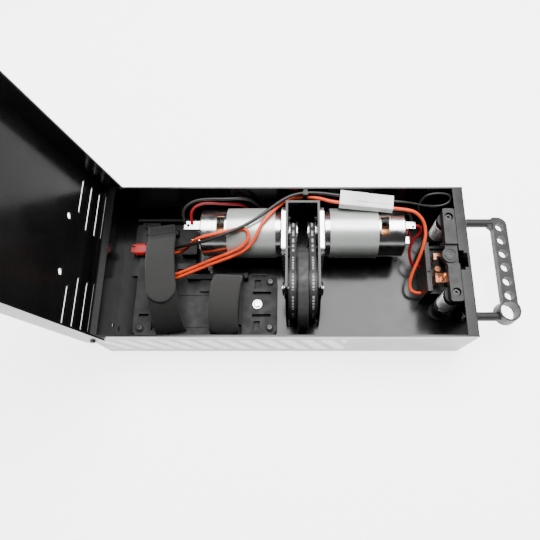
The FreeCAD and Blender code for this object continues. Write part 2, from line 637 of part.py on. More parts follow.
def battery_tray():
    """L-shaped moulding: low deck, raised end blocks with slots, and the strap bars."""
    floor = SHEET + 0.05
    deck = block((-136, -7), (-53.5, 3.9), (floor, 5))
    wing = block((-143, -84), (3.9, 58.5), (floor, 5))
    base = fused(deck, wing)
    corners = [e for e in base.Edges if abs(e.tangentAt(e.FirstParameter).z) > 0.99
               and (e.CenterOfMass.x > -10 or (e.CenterOfMass.x < -135 and abs(e.CenterOfMass.y) > 50))]
    base = base.makeFillet(6.5, corners)
    right = block((-41, -7), (-53.5, 3.9), (5, 9))
    right = right.makeFillet(6.5, [e for e in right.Edges if e.CenterOfMass.x > -7.5
                                   and abs(e.tangentAt(e.FirstParameter).z) > 0.99])
    left = block((-136, -119.5), (-53.5, 58.5), (5, 9))
    left = left.makeFillet(6.5, [e for e in left.Edges if e.CenterOfMass.x < -135.5 and e.CenterOfMass.y < 0
                                 and abs(e.tangentAt(e.FirstParameter).z) > 0.99])
    ribs = [block((-140, -84), (56.3, 58.3), (5, 13)),
            block((-96, -82), (22, 34), (5, 14)),
            block((-98, -72), (6.5, 12), (5, 17)),
            block((-90, -66), (-1, 3.9), (5, 11)),
            block((-78, -66), (-12, -1), (5, 8)),
            block((-119.5, -114), (-53.5, -49), (5, 11)),
            block((-41, -38), (-53.5, 3.9), (9, 11.5)),
            block((-30, -16.5), (2.4, 3.9), (9, 11)),
            block((-86, -66), (-53.5, -49), (5, 9))]
    seams = [block((-119, -41.5), (y - 0.5, y + 0.5), (4.2, 6)) for y in (-15.5, -45.5)]
    slots = [block((-29, -12.4), (y - 1.4, y + 1.4), (4, 12)) for y in (-14.1, -35.2)]
    slots.append(block((-131.5, -122.8), (-36.3, -33.5), (4, 12)))
    slots.append(block((-42, -38.2), (-54, -44), (5.2, 12)))
    slots.append(block((-130.4, -119), (36, 48), (5, 12)))
    pockets = [block((-27.6, -22.0), (y - 4.2, y + 4.2), (5.5, 12)) for y in (-5.5, -44.5)]
    body = fused(base, right, left, *ribs).cut(seams + slots + pockets)
    for x, y in tray_screw_places():
        body = body.fuse(tube(3.6, 1.5, (x, y, 9), (x, y, 10.2)))
        body = body.cut(rod(1.5, (x, y, 0), (x, y, 12)))
    body = body.cut([rod(2.0, (*TRAY_CENTRE, 0), (*TRAY_CENTRE, 12))])
    bars = [strap_bar((-65.5, -33.5), 1.5, 15.0), strap_bar((-131.5, -101.5), 46.5, 9.0)]
    return fused(body, *bars)


def strap_bar(x, y, z):
    """Two lugs and the round bar between them that a strap loops round."""
    lugs = [rounded(block((at, at + 3.2), (y - 4, y + 2.2), (4.8, z + 2.2)), 1.5, X_ON)
            for at in (x[0], x[1] - 3.2)]
    bar = rod(1.8, (x[0] + 1, y, z), (x[1] - 1, y, z))
    return fused(bar, *lugs)


def tray_screw_places():
    return [(-13.0, -3.6), (-13.0, -46.5), (-129.3, -47.0), (-131.0, 52.0)]


def tray_centre_screw():
    """A plated screw with its washer."""
    washer = tube(4.1, 2.0, (*TRAY_CENTRE, 9), (*TRAY_CENTRE, 9.9))
    return fused(washer, floor_screw(*TRAY_CENTRE, 9.9, 2.0, 3.2, 2.0))


def ribbon(outline, thick, width, foot, heading):
    """A strap that stands as an arch. outline is (along, height) points of two arcs each way."""
    def arcs(shift):
        moved = []
        for k, (along, height) in enumerate(outline):
            before = outline[max(k - 1, 0)]
            after = outline[min(k + 1, len(outline) - 1)]
            line = Vector(after[0] - before[0], 0, after[1] - before[1]).normalize()
            moved.append(Vector(along + line.z * shift, 0, height - line.x * shift))
        return moved
    outer = arcs(0)
    inner = arcs(thick)
    edges = [Part.Arc(*outer[0:3]).toShape(), Part.Arc(*outer[2:5]).toShape(),
             Part.LineSegment(outer[4], inner[4]).toShape(),
             Part.Arc(*inner[4:1:-1]).toShape(), Part.Arc(*inner[2::-1]).toShape(),
             Part.LineSegment(inner[0], outer[0]).toShape()]
    solid = Part.Face(Part.Wire(edges)).extrude(Vector(0, width, 0))
    solid.translate(Vector(0, -width / 2, 0))
    solid.rotate(Vector(0, 0, 0), Z_UP, heading)
    solid.translate(Vector(*foot))
    return solid


def strap_left():
    """From the rear bar forward over the battery's place to the tray's front edge."""
    arch = [(0, 8.5), (24, 29), (62, 38), (88, 29), (99, 7)]
    return ribbon(arch, 3.0, 26.0, (-116.5, 45.0, 0), -80.5)


def strap_right():
    arch = [(0, 19), (9, 31), (27, 37), (46, 29), (55, 7)]
    return ribbon(arch, 3.0, 26.0, (-50.0, 0.5, 0), -93.0)


# Contact bar

def contact_bar():
    """The sprung cross bar that the closed lid presses, with its stem and boss."""
    x = (BAR_X - BAR_WIDTH / 2, BAR_X + BAR_WIDTH / 2)
    bar = rounded(block(x, (BAR_FRONT, BAR_BACK), (BAR_UNDER, BAR_TOP)), 2.0, Z_UP)
    bar = bar.cut(block((x[0] - 1, x[1] + 1), (-5.5, 12), (62.5, BAR_TOP + 1)))
    boss = rod(6.5, (138.0, 2.5, BAR_UNDER), (138.0, 2.5, 64.0))
    stem = rod(1.4, (137.7, 2.5, 55.5), (137.7, 2.5, BAR_UNDER + 1))
    cuts = [tube(5.0, 4.4, (138.0, 2.5, 63.5), (138.0, 2.5, 65.0)),
            rod(2.2, (138.0, 2.5, 62.6), (138.0, 2.5, 65.0))]
    collars = []
    for y in POST_YS:
        cuts.append(rod(3.6, (BAR_X, y, 60.5), (BAR_X, y, BAR_TOP + 1)))
        cuts.append(rod(1.5, (BAR_X, y, 50), (BAR_X, y, BAR_TOP + 1)))
        cuts.append(rod(3.4, (BAR_X, y, COLLAR_UNDER - 1), (BAR_X, y, 56.0)))
        collar = rod(COLLAR_R, (BAR_X, y, COLLAR_UNDER), (BAR_X, y, BAR_UNDER))
        collars.append(collar)
    return fused(bar, boss, stem, *collars).cut(cuts)


def bar_screws():
    """Socket screws in the counterbores, and the small centre screw."""
    screws = []
    for y in POST_YS:
        head = rod(2.75, (BAR_X, y, 60.5), (BAR_X, y, 63.2))
        shank = rod(1.5, (BAR_X, y, 56.1), (BAR_X, y, 60.5))
        screws.append(fused(head, shank).cut(hexagon(1.25, (BAR_X, y, 61.5), Z_UP, 3)))
    centre = rod(2.1, (138.0, 2.5, 62.6), (138.0, 2.5, 63.7))
    screws.append(centre.cut(hexagon(0.7, (138.0, 2.5, 63.0), Z_UP, 2)))
    return screws


def bar_spring(y):
    """A coil spring round its post, between post shoulder and collar."""
    radius = SPRING_WIRE / 2
    height = COLLAR_UNDER - POST_TOP - SPRING_WIRE - 0.4
    helix = Part.makeHelix(height / SPRING_TURNS, height, SPRING_R)
    ring = Part.Wire([Part.makeCircle(radius, Vector(SPRING_R, 0, 0), Vector(0, 1, 0))])
    coil = Part.Wire(helix.Edges).makePipeShell([ring], True, True)
    coil = coil if coil.ShapeType == "Solid" else Part.Solid(coil)
    coil.translate(Vector(BAR_X, y, POST_TOP + radius + 0.2))
    return coil


def spring_post(y):
    """A moulded pillar whose upper rod guides the collar."""
    foot = rod(8.4, (BAR_X, y, SHEET + 0.05), (BAR_X, y, 4.5))
    pillar = rod(5.5, (BAR_X, y, 4.0), (BAR_X, y, POST_TOP - 2))
    shoulder = rod(8.0, (BAR_X, y, POST_TOP - 2.5), (BAR_X, y, POST_TOP))
    guide = rod(3.0, (BAR_X, y, POST_TOP - 1), (BAR_X, y, 52.5))
    return fused(foot, pillar, shoulder, guide)


def contact_bridge():
    """The copper strip under the bar, with a leg over each fixed contact."""
    strip = block((136.2, 139.2), (-12, 11), (54.0, 55.5))
    legs = [block((136.6, 139.0), (y - 1.6, y + 1.6), (45.2, 55.0)) for y in (-9.8, 8.8)]
    return fused(strip, *legs)


def fixed_contacts():
    """Copper on the switch housing: an angle, an open square and a post between them."""
    angle = fused(block((130.6, 139.4), (6.6, 12.4), (40.8, 41.8)),
                  block((130.6, 131.6), (6.6, 12.4), (27.0, 41.8)))
    angle = angle.cut(block((132.8, 138), (5, 9.6), (40, 43)))
    square = fused(block((130.6, 139.4), (-14.2, -6.0), (40.8, 41.8)),
                   block((130.6, 131.6), (-14.2, -6.0), (27.0, 41.8)),
                   block((130.6, 139.4), (-7.0, -6.0), (36.0, 41.8)))
    post = rod(2.6, (135.0, 0.5, 27.0), (135.0, 0.5, 35.0))
    return [angle, square, post]


def switch_housing():
    """The black moulding under the bar, with its tall inner side wall."""
    floor = SHEET + 0.05
    base = block((128, 149), (-18, 21.5), (floor, 27))
    wall = block((124, 128), (-21, 24), (floor, 39))
    back = block((124, 149), (21.5, 24), (floor, 30))
    front = block((124, 149), (-21, -18), (floor, 30))
    well = block((139, 147), (-14, 14), (10, 28))
    mark = rod(1.2, (126, -4, 37.5), (126, -4, 40))
    return fused(base, wall, back, front).cut([well, mark])


# Handle

def handle():
    """Two arms and a flat grip with tool holes and a tall ring at the front end."""
    arms = [rod(ARM_R, (LENGTH / 2, way * ARM_Y, ARM_Z), (GRIP_X - 2, way * ARM_Y, ARM_Z))
            for way in (-1, 1)]
    feet = [rounded(block((LENGTH / 2, LENGTH / 2 + 4), (way * ARM_Y - 6, way * ARM_Y + 6), (30, 44)),
                    3, X_ON) for way in (-1, 1)]
    x = (GRIP_X - GRIP_WIDTH / 2, GRIP_X + GRIP_WIDTH / 2)
    z = (ARM_Z - GRIP_THICK / 2, ARM_Z + GRIP_THICK / 2)
    grip = block(x, (-ARM_Y, ARM_Y + 4), z)
    outer = [e for e in grip.Edges if abs(e.tangentAt(e.FirstParameter).z) > 0.99
             and e.CenterOfMass.x > GRIP_X and e.CenterOfMass.y > 0]
    grip = grip.makeFillet(8, outer)
    ring = Part.makeCone(RING_OUT_R + 0.8, RING_OUT_R, RING_HIGH - RING_LOW,
                         Vector(RING_X, RING_Y, RING_LOW), Z_UP)
    gussets = [prism([(x[0] + 1, way * ARM_Y, z[0] + 1), (x[0] - 7, way * ARM_Y, z[0] + 1),
                      (x[0] + 1, way * (ARM_Y - 8), z[0] + 1)], Z_UP, GRIP_THICK - 2)
               for way in (-1, 1)]
    body = fused(grip, ring, *arms, *feet, *gussets)
    cuts = [rod(RING_IN_R, (RING_X, RING_Y, RING_LOW - 1), (RING_X, RING_Y, RING_HIGH + 1))]
    for k in range(6):
        y = HOLE_FIRST_Y - k * HOLE_PITCH
        cuts.append(rod(HOLE_R, (GRIP_X, y, 0), (GRIP_X, y, 60)))
    cuts += [rod(2.0, (LENGTH / 2 - 1, way * ARM_Y, ARM_Z), (LENGTH / 2 + 12, way * ARM_Y, ARM_Z))
             for way in (-1, 1)]
    return body.cut(cuts)


def handle_screws():
    """From inside the case, through the end wall into each arm."""
    inner = LENGTH / 2 - SHEET
    screws = []
    for way in (-1, 1):
        shank = rod(2.0, (inner, way * ARM_Y, ARM_Z), (inner + 12, way * ARM_Y, ARM_Z))
        head = rod(3.8, (inner - 2.3, way * ARM_Y, ARM_Z), (inner, way * ARM_Y, ARM_Z))
        head = head.makeFillet(0.9, [e for e in head.Edges
                                     if abs(e.CenterOfMass.x - inner + 2.3) < 0.01])
        key = hexagon(1.25, (inner - 2.4, way * ARM_Y, ARM_Z), X_ON, 1.5)
        screws.append(fused(shank, head).cut(key))
    return screws


# Connectors and tie

def turned(shape):
    """Set a connector half, made about the origin along X, in its place."""
    shape.rotate(Vector(0, 0, 0), Z_UP, CONNECTOR_TURN)
    shape.translate(CONNECTOR)
    return shape


def connector_plug():
    """The left half: the outer shell of the mated pair."""
    shell = rounded(block((-23, 1), (-7, 7), (-4.3, 4.1)), 1.0, X_ON)
    latch_bar = block((-8, 5), (-2.2, 2.2), (4.1, 4.9))
    entries = [rod(LEAD / 2, (-24, y, 0), (-20, y, 0)) for y in (-3.5, 3.5)]
    return turned(fused(shell, latch_bar).cut(entries))


def connector_socket():
    """The right half."""
    shell = rounded(block((1, 23), (-6.7, 6.7), (-4.2, 4.0)), 1.0, X_ON)
    rib = block((5.2, 20), (-2.2, 2.2), (4.0, 4.6))
    entries = [rod(r, (20, y, 0), (24, y, 0)) for r, y in ((LEAD / 2, -3.5), (THIN_LEAD / 2, 3.5))]
    return turned(fused(shell, rib).cut(entries))


def battery_plug():
    """The red T-shaped plug of the battery lead, lying on the tray."""
    body = rounded(block((-139, -130), (21.5, 32.5), (9.1, 16.5)), 2.4, X_ON)
    tail = rounded(block((-130.5, -126), (22.8, 31.2), (10.2, 15.8)), 1.8, X_ON)
    grips = [block((-138 + 2.6 * k, -137 + 2.6 * k), (21.2, 32.8), (11.5, 14.5)) for k in range(3)]
    blades = [block((-143.5, -139), (24.5, 29.5), (12.4, 13.4)),
              block((-142.5, -139), (30.6, 31.6), (11.5, 14.5))]
    return fused(body, tail, *grips, *blades)


def cable_tie():
    """The tie that holds the two leads together behind the bracket."""
    x = (17.0, 20.5)
    band = block(x, (58.0, 64.3), (52.2, 62.2)).cut(block((16, 22), (58.6, 63.8), (52.8, 61.6)))
    head = block((16.5, 21), (58.4, 61.4), (62.2, 63.4))
    return fused(band, head)


save("case_body", case_body())
save("end_wall_left", end_wall_left())
save("end_wall_right", end_wall_right())
save("lid", lid())
save("lid_striker", lid_striker())
save("lid_pivot_screws", *lid_pivot_screws())
save("latch", latch())
save("motor_bracket", motor_bracket())
save("bracket_screws", *[floor_screw(x, y, SHEET + 0.05 + CHEEK) for x, y in bracket_screw_places()])
save("motor_screws", *motor_screws())
save("motor_terminals", *motor_terminals())
for side, way in (("left", -1), ("right", 1)):
    save(f"motor_mount_{side}", motor_mount(way))
    save(f"motor_{side}_can", motor_can(way))
    save(f"motor_{side}_flux_ring", motor_tube(way, RING_R, CAN_R, RING_FROM, RING_TO))
    save(f"motor_{side}_endbell", motor_endbell(way))
    save(f"motor_{side}_armature", armature(way))
    save(f"pinion_{side}", toothed(belt_x(way), MOTOR_Y, MOTOR_Z, SMALL_TEETH, SHAFT_R, 10.2))
    save(f"pulley_{side}", toothed(belt_x(way), AXLE_Y, AXLE_Z, BIG_TEETH, AXLE_R, 26.8))
    save(f"drive_belt_{side}", drive_belt(way))
save("wheel_hub", wheel_hub())
save("wheel_tyre", wheel_tyre())
save("wheel_axle", wheel_axle())
save("axle_bearings", axle_bearing(-1), axle_bearing(1))
save("axle_retainers", axle_retainer(-1), axle_retainer(1))
save("battery_tray", battery_tray())
save("tray_screws", *[floor_screw(x, y, 10.2, 1.5, 2.8, 1.8) for x, y in tray_screw_places()])
save("tray_centre_screw", tray_centre_screw())
save("strap_left", strap_left())
save("strap_right", strap_right())
save("contact_bar", contact_bar())
save("bar_screws", *bar_screws())
save("bar_springs", *[bar_spring(y) for y in POST_YS])
save("spring_posts", *[spring_post(y) for y in POST_YS])
save("contact_bridge", contact_bridge())
save("fixed_contacts", *fixed_contacts())
save("switch_housing", switch_housing())
save("handle", handle())
save("handle_screws", *handle_screws())
save("connector_plug", connector_plug())
save("connector_socket", connector_socket())
save("battery_plug", battery_plug())
save("cable_tie", cable_tie())
cord("battery_lead_black", BATTERY_BLACK, LEAD)
cord("battery_lead_red", BATTERY_RED, LEAD)
cord("main_lead_red", MAIN_RED, LEAD)
cord("jumper_black", JUMPER_BLACK, JUMPER)
cord("jumper_red", JUMPER_RED, JUMPER)
cord("supply_lead_black", SUPPLY_BLACK, THIN_LEAD)
cord("supply_lead_red", SUPPLY_RED, LEAD)
cord("motor_lead_dark_red", MOTOR_DARK_RED, DARK_LEAD)
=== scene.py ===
"""The looks of the starter box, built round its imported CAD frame. Metres, row frame."""

import json
import math
import bpy
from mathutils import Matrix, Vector


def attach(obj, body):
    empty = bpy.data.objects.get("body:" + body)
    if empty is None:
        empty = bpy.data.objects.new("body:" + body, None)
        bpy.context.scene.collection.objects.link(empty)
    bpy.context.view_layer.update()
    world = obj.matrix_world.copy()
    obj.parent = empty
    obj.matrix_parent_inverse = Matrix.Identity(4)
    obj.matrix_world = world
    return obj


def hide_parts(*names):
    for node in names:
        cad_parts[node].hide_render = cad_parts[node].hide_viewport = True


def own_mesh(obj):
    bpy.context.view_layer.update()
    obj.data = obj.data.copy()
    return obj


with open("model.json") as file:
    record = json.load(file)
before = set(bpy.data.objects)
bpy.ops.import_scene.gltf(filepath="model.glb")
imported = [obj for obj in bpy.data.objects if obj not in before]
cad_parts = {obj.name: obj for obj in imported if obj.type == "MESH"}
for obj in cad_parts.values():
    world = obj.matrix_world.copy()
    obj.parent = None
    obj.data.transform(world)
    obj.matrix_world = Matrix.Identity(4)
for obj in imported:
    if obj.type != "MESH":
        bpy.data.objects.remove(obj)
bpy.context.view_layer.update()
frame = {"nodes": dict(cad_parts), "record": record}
nodes = frame["nodes"]
MM = 0.001

# Places in the frame that the looks refer to
MIDDLE_X = 0.0165
AXLE_Y = -0.0195
AXLE_Z = 0.040
BELT_OFFSET = 0.0083
PULLEY_REACH = 0.0253
FRONT_FACE_Y = -0.0659
LID_INNER_WAY = (0.983, 0, 0.182)


# Camera
cam_data = bpy.data.cameras.new("camera")
cam_data.lens = 33.893
cam_data.sensor_width = 36.0
cam_data.shift_x = -0.05
camera = bpy.data.objects.new("camera", cam_data)
camera.location = (0.01147, -0.14846, 0.45586)
camera.rotation_euler = (math.radians(19.34), 0, 0)
bpy.context.scene.collection.objects.link(camera)
bpy.context.scene.camera = camera


# Materials

class Look:
    """A node material that is built a step at a time."""

    def __init__(self, name, colour, rough, metal=0.0, spec=0.5, coat=0.0, coat_rough=0.1):
        self.mat = bpy.data.materials.new(name)
        self.mat.use_nodes = True
        self.tree = self.mat.node_tree
        self.shader = self.tree.nodes["Principled BSDF"]
        self.set("Base Color", (*colour, 1))
        self.set("Roughness", rough)
        self.set("Metallic", metal)
        self.set("Specular IOR Level", spec)
        self.set("Coat Weight", coat)
        self.set("Coat Roughness", coat_rough)
        self.coords = self.add("ShaderNodeTexCoord").outputs["Object"]

    def set(self, socket, value):
        self.shader.inputs[socket].default_value = value

    def add(self, kind, **settings):
        node = self.tree.nodes.new(kind)
        for key, value in settings.items():
            setattr(node, key, value)
        return node

    def link(self, start, end):
        self.tree.links.new(start, end)
        return end

    def scaled(self, scale):
        mapping = self.add("ShaderNodeMapping")
        mapping.inputs["Scale"].default_value = scale
        self.link(self.coords, mapping.inputs["Vector"])
        return mapping.outputs["Vector"]

    def noise(self, scale, detail=4.0, stretch=(1, 1, 1)):
        node = self.add("ShaderNodeTexNoise")
        node.inputs["Scale"].default_value = scale
        node.inputs["Detail"].default_value = detail
        self.link(self.scaled(stretch), node.inputs["Vector"])
        return node.outputs["Fac"]

    def ramp(self, factor, stops):
        node = self.add("ShaderNodeValToRGB")
        ramp = node.color_ramp
        while len(ramp.elements) < len(stops):
            ramp.elements.new(0.5)
        for element, (place, colour) in zip(ramp.elements, stops):
            element.position = place
            element.color = (*colour, 1) if len(colour) == 3 else colour
        self.link(factor, node.inputs["Fac"])
        return node.outputs["Color"]

    def band(self, factor, low, high, from_value, to_value):
        node = self.add("ShaderNodeMapRange")
        for name, value in (("From Min", low), ("From Max", high), ("To Min", from_value),
                            ("To Max", to_value)):
            node.inputs[name].default_value = value
        self.link(factor, node.inputs["Value"])
        return node.outputs["Result"]

    def mottled(self, a, b, scale, stretch=(1, 1, 1)):
        """Base colour that drifts between two tones."""
        self.link(self.ramp(self.noise(scale, 5, stretch), [(0.35, a), (0.65, b)]),
                  self.shader.inputs["Base Color"])
        return self

    def roughened(self, low, high, scale, stretch=(1, 1, 1)):
        self.link(self.band(self.noise(scale, 6, stretch), 0.35, 0.65, low, high),
                  self.shader.inputs["Roughness"])
        return self

    def bumped(self, height, strength, distance=0.0002):
        node = self.add("ShaderNodeBump")
        node.inputs["Strength"].default_value = strength
        node.inputs["Distance"].default_value = distance
        self.link(height, node.inputs["Height"])
        self.link(node.outputs["Normal"], self.shader.inputs["Normal"])
        return self

    def axis(self, letter):
        node = self.add("ShaderNodeSeparateXYZ")
        self.link(self.coords, node.inputs[0])
        return node.outputs[letter]

    def math(self, operation, a, b=None, c=None):
        node = self.add("ShaderNodeMath", operation=operation)
        for k, value in enumerate((a, b, c)):
            if value is None:
                continue
            if isinstance(value, (int, float)):
                node.inputs[k].default_value = value
            else:
                self.link(value, node.inputs[k])
        return node.outputs[0]

    def between(self, value, low, high):
        return self.math("MULTIPLY", self.math("GREATER_THAN", value, low),
                         self.math("LESS_THAN", value, high))

    def mix(self, factor, a, b, socket="Base Color"):
        """Mix two colours, or a colour and the one linked so far, into a shader socket."""
        node = self.add("ShaderNodeMix", data_type="RGBA")
        self.link(factor, node.inputs["Factor"])
        for name, value in (("A", a), ("B", b)):
            target = [s for s in node.inputs if s.name == name and s.type == "RGBA"][0]
            if isinstance(value, tuple):
                target.default_value = (*value, 1)
            else:
                self.link(value, target)
        out = [s for s in node.outputs if s.type == "RGBA"][0]
        self.link(out, self.shader.inputs[socket])
        return out


def grey(value, warmth=0.0):
    return (value * (1 + warmth), value, value * (1 - warmth))


def moulding(name, tone=0.022, rough=0.42, grain=900, strength=0.10):
    look = Look(name, grey(tone), rough, spec=0.35)
    look.mottled(grey(tone * 0.85), grey(tone * 1.15, 0.02), 60)
    look.roughened(rough - 0.05, rough + 0.07, 140)
    return look.bumped(look.noise(grain, 3), strength, 0.0001)


def black_paint():
    """Satin black paint; the front face carries pale slanted bars and a rule."""
    look = Look("black_paint", grey(0.004), 0.2, spec=0.3)
    base = look.ramp(look.noise(25, 4), [(0.3, grey(0.003)), (0.7, grey(0.005))])
    x, y, z = look.axis("X"), look.axis("Y"), look.axis("Z")
    front = look.math("LESS_THAN", y, FRONT_FACE_Y)
    slanted = look.math("ADD", x, look.math("MULTIPLY", z, 0.4))
    bars = look.math("LESS_THAN", look.math("FRACT", look.math("MULTIPLY", slanted, 60)), 0.6)
    area = look.math("MULTIPLY", look.between(x, -0.15, 0.052), look.between(z, 0.012, 0.050))
    rule = look.math("MULTIPLY", look.between(x, -0.145, 0.145), look.between(z, 0.0555, 0.0575))
    marks = look.math("MAXIMUM", look.math("MULTIPLY", bars, area), rule)
    look.mix(look.math("MULTIPLY", marks, front), base, (0.33, 0.33, 0.34))
    look.roughened(0.17, 0.23, 70)
    return look.bumped(look.noise(500, 2), 0.05, 0.00006)


def lid_paint():
    """The case's paint, duller on the lid's inner side."""
    look = black_paint()
    facing = look.add("ShaderNodeVectorMath", operation="DOT_PRODUCT")
    facing.inputs[1].default_value = LID_INNER_WAY
    look.link(look.add("ShaderNodeTexCoord").outputs["Normal"], facing.inputs[0])
    look.link(look.band(facing.outputs["Value"], 0.5, 0.9, 0.3, 0.06),
              look.shader.inputs["Specular IOR Level"])
    return look


def steel(name, tone, rough, stretch=(1, 1, 1), metal=1.0):
    look = Look(name, grey(tone), rough, metal)
    look.mottled(grey(tone * 0.9), grey(min(tone * 1.08, 1.0)), 90, stretch)
    look.roughened(rough * 0.8, rough * 1.3, 200, stretch)
    return look.bumped(look.noise(900, 3, stretch), 0.06, 0.00005)


def rubber(name, colour, rough=0.5, tone=0.9):
    look = Look(name, colour, rough, spec=0.45)
    look.mottled(tuple(c * tone for c in colour), tuple(min(c * 1.1, 1) for c in colour), 120)
    return look.bumped(look.noise(1500, 2), 0.06, 0.00005)


def flux_ring():
    look = Look("flux_ring_paint", (0.60, 0.64, 0.61), 0.34, 0.55, spec=0.5)
    look.mottled((0.58, 0.62, 0.59), (0.63, 0.66, 0.63), 40)
    return look.roughened(0.31, 0.37, 90, (1, 4, 4))


def belt():
    """Black belt with a row of pale printed dashes round its back."""
    look = Look("belt_rubber", grey(0.02), 0.55)
    x, y, z = look.axis("X"), look.axis("Y"), look.axis("Z")
    from_middle = look.math("ABSOLUTE", look.math("SUBTRACT", x, MIDDLE_X))
    off = look.math("SUBTRACT", from_middle, BELT_OFFSET)
    on_line = look.math("LESS_THAN", look.math("ABSOLUTE", off), 0.0008)
    up = look.math("SUBTRACT", z, AXLE_Z)
    back = look.math("SUBTRACT", y, AXLE_Y)
    turn = look.math("ARCTAN2", up, back)

    def dashes(rate, share):
        return look.math("LESS_THAN", look.math("FRACT", look.math("MULTIPLY", turn, rate)), share)

    words = look.math("MULTIPLY", dashes(9.0, 0.62), dashes(47.0, 0.62))
    words = look.math("MULTIPLY", words, dashes(1.45, 0.78))
    reach = look.math("ADD", look.math("POWER", up, 2), look.math("POWER", back, 2))
    outside = look.math("GREATER_THAN", reach, PULLEY_REACH ** 2)
    marks = look.math("MULTIPLY", look.math("MULTIPLY", on_line, words), outside)
    look.mix(marks, look.ramp(look.noise(200, 3), [(0.3, grey(0.016)), (0.7, grey(0.026))]),
             (0.55, 0.55, 0.53))
    return look.bumped(look.noise(900, 2), 0.08, 0.00006)


def tyre():
    """Dull rubber, ground across its tread."""
    look = Look("tyre_rubber", grey(0.03), 0.62)
    look.mottled(grey(0.018), grey(0.034), 160, (0.25, 1, 1))
    look.roughened(0.5, 0.75, 200)
    return look.bumped(look.noise(700, 5, (0.2, 1, 1)), 0.35, 0.0002)


def webbing(name="webbing", tone=1.0, ribbed_to=0.0):
    """Hook-and-loop webbing: a fine weave with loose fibres, ribbed over its first stretch."""
    look = Look(name, grey(0.03), 0.85, spec=0.2)
    look.set("Sheen Weight", 0.12)
    look.set("Sheen Roughness", 0.45)
    uv = look.add("ShaderNodeTexCoord").outputs["UV"]
    parts = look.add("ShaderNodeSeparateXYZ")
    look.link(uv, parts.inputs[0])
    across = look.math("SINE", look.math("MULTIPLY", parts.outputs["X"], 22 * 2 * math.pi))
    along = look.math("SINE", look.math("MULTIPLY", parts.outputs["Y"], 900 * 2 * math.pi))
    weave = look.math("ADD", look.math("MULTIPLY", across, along), look.noise(2500, 3))
    ribs = look.math("MULTIPLY", look.math("SINE", look.math("MULTIPLY", parts.outputs["X"],
                                                             16 * 2 * math.pi)),
                     look.math("SINE", look.math("MULTIPLY", parts.outputs["Y"],
                                                 480 * 2 * math.pi)))
    patch = look.math("LESS_THAN", parts.outputs["Y"], ribbed_to)
    height = look.math("ADD", weave, look.math("MULTIPLY", look.math("MULTIPLY", ribs, patch), 3))
    seam = look.between(parts.outputs["Y"], ribbed_to, ribbed_to + 0.0009)
    cloth = look.ramp(look.band(look.math("ADD", height, look.math("MULTIPLY", seam, -4)),
                                -2, 3, 0, 1),
                      [(0.05, grey(0.004)), (0.3, grey(0.016 * tone, 0.02)),
                       (0.8, grey(0.05 * tone, 0.02))])
    look.link(cloth, look.shader.inputs["Base Color"])
    return look.bumped(height, 0.5, 0.00035)


def copper(name="copper"):
    look = Look(name, (0.75, 0.34, 0.18), 0.3, 1.0)
    look.mottled((0.62, 0.24, 0.11), (0.83, 0.42, 0.25), 150)
    look.roughened(0.22, 0.4, 220)
    return look.bumped(look.noise(700, 3), 0.06, 0.00005)


def armature_look():
    """Steel core, with copper shown round the commutator and the winding ends."""
    look = Look("armature_core", (0.25, 0.22, 0.2), 0.4, 0.9)
    strands = look.ramp(look.noise(600, 3, (1, 6, 6)),
                        [(0.4, (0.55, 0.24, 0.1)), (0.6, (0.8, 0.4, 0.2))])
    stack = look.ramp(look.noise(900, 2, (9, 1, 1)), [(0.4, grey(0.2)), (0.6, grey(0.45))])
    away = look.math("ABSOLUTE", look.math("SUBTRACT", look.axis("X"), MIDDLE_X))
    look.mix(look.between(away, 0.062, 0.079), stack, strands)
    return look.roughened(0.3, 0.5, 300)


LOOKS = {
    "black_paint": black_paint(),
    "plated_screw": steel("plated_screw", 0.72, 0.2),
    "black_screw": moulding("black_screw", 0.012, 0.3, 500, 0.05),
    "bare_steel": steel("bare_steel", 0.66, 0.2),
    "flux_ring_paint": flux_ring(),
    "alloy": steel("alloy", 0.82, 0.28, (6, 1, 1)),
    "black_moulding": moulding("black_moulding", 0.014, 0.46, 700, 0.18),
    "armature_core": armature_look(),
    "belt_rubber": belt(),
    "tyre_rubber": tyre(),
    "webbing": webbing("webbing", 1.15, 0.0095),
    "copper": copper(),
    "white_moulding": moulding("white_moulding", 0.93, 0.38, 500, 0.06),
    "red_moulding": rubber("red_moulding", (0.30, 0.006, 0.006), 0.36),
    "black_silicone": rubber("black_silicone", grey(0.014), 0.42),
    "red_silicone": rubber("red_silicone", (0.86, 0.075, 0.018), 0.42),
    "dark_red_silicone": rubber("dark_red_silicone", (0.24, 0.004, 0.008), 0.38),
}
# The tray's moulding is much darker than the other black mouldings (0.005 against 0.014): painted
# shade from the lid over the left of the box
SHADED_TRAY_LOOK = moulding("tray_moulding_painted_shade", 0.005, 0.6, 420, 0.22)
HANDLE_LOOK = moulding("handle_moulding", 0.02, 0.5, 600, 0.12)
# The same webbing at 0.45 of its tone, against 1.15 for the upper layer: painted shade on the
# straps' lower layer
SHADED_WEBBING_LOOK = webbing("webbing_painted_shade", 0.45)
SPRING_LOOK = Look("spring_steel", grey(0.85), 0.34, 0.75)
SPRING_LOOK.mottled(grey(0.8), grey(0.9), 120)
LID_LOOK = lid_paint()

slots = {p["node"]: p["material_slot"] for p in frame["record"]["subparts"]}


def wear(obj, look):
    obj.data.materials.clear()
    obj.data.materials.append(look.mat)


for name, node in nodes.items():
    wear(node, LOOKS[slots[name]])
wear(nodes["battery_tray"], SHADED_TRAY_LOOK)
wear(nodes["handle"], HANDLE_LOOK)
wear(nodes["bar_springs"], SPRING_LOOK)
wear(nodes["lid"], LID_LOOK)
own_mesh(nodes["bar_springs"])


# Leads

def millimetres(points):
    return [tuple(c * MM for c in p) for p in points]


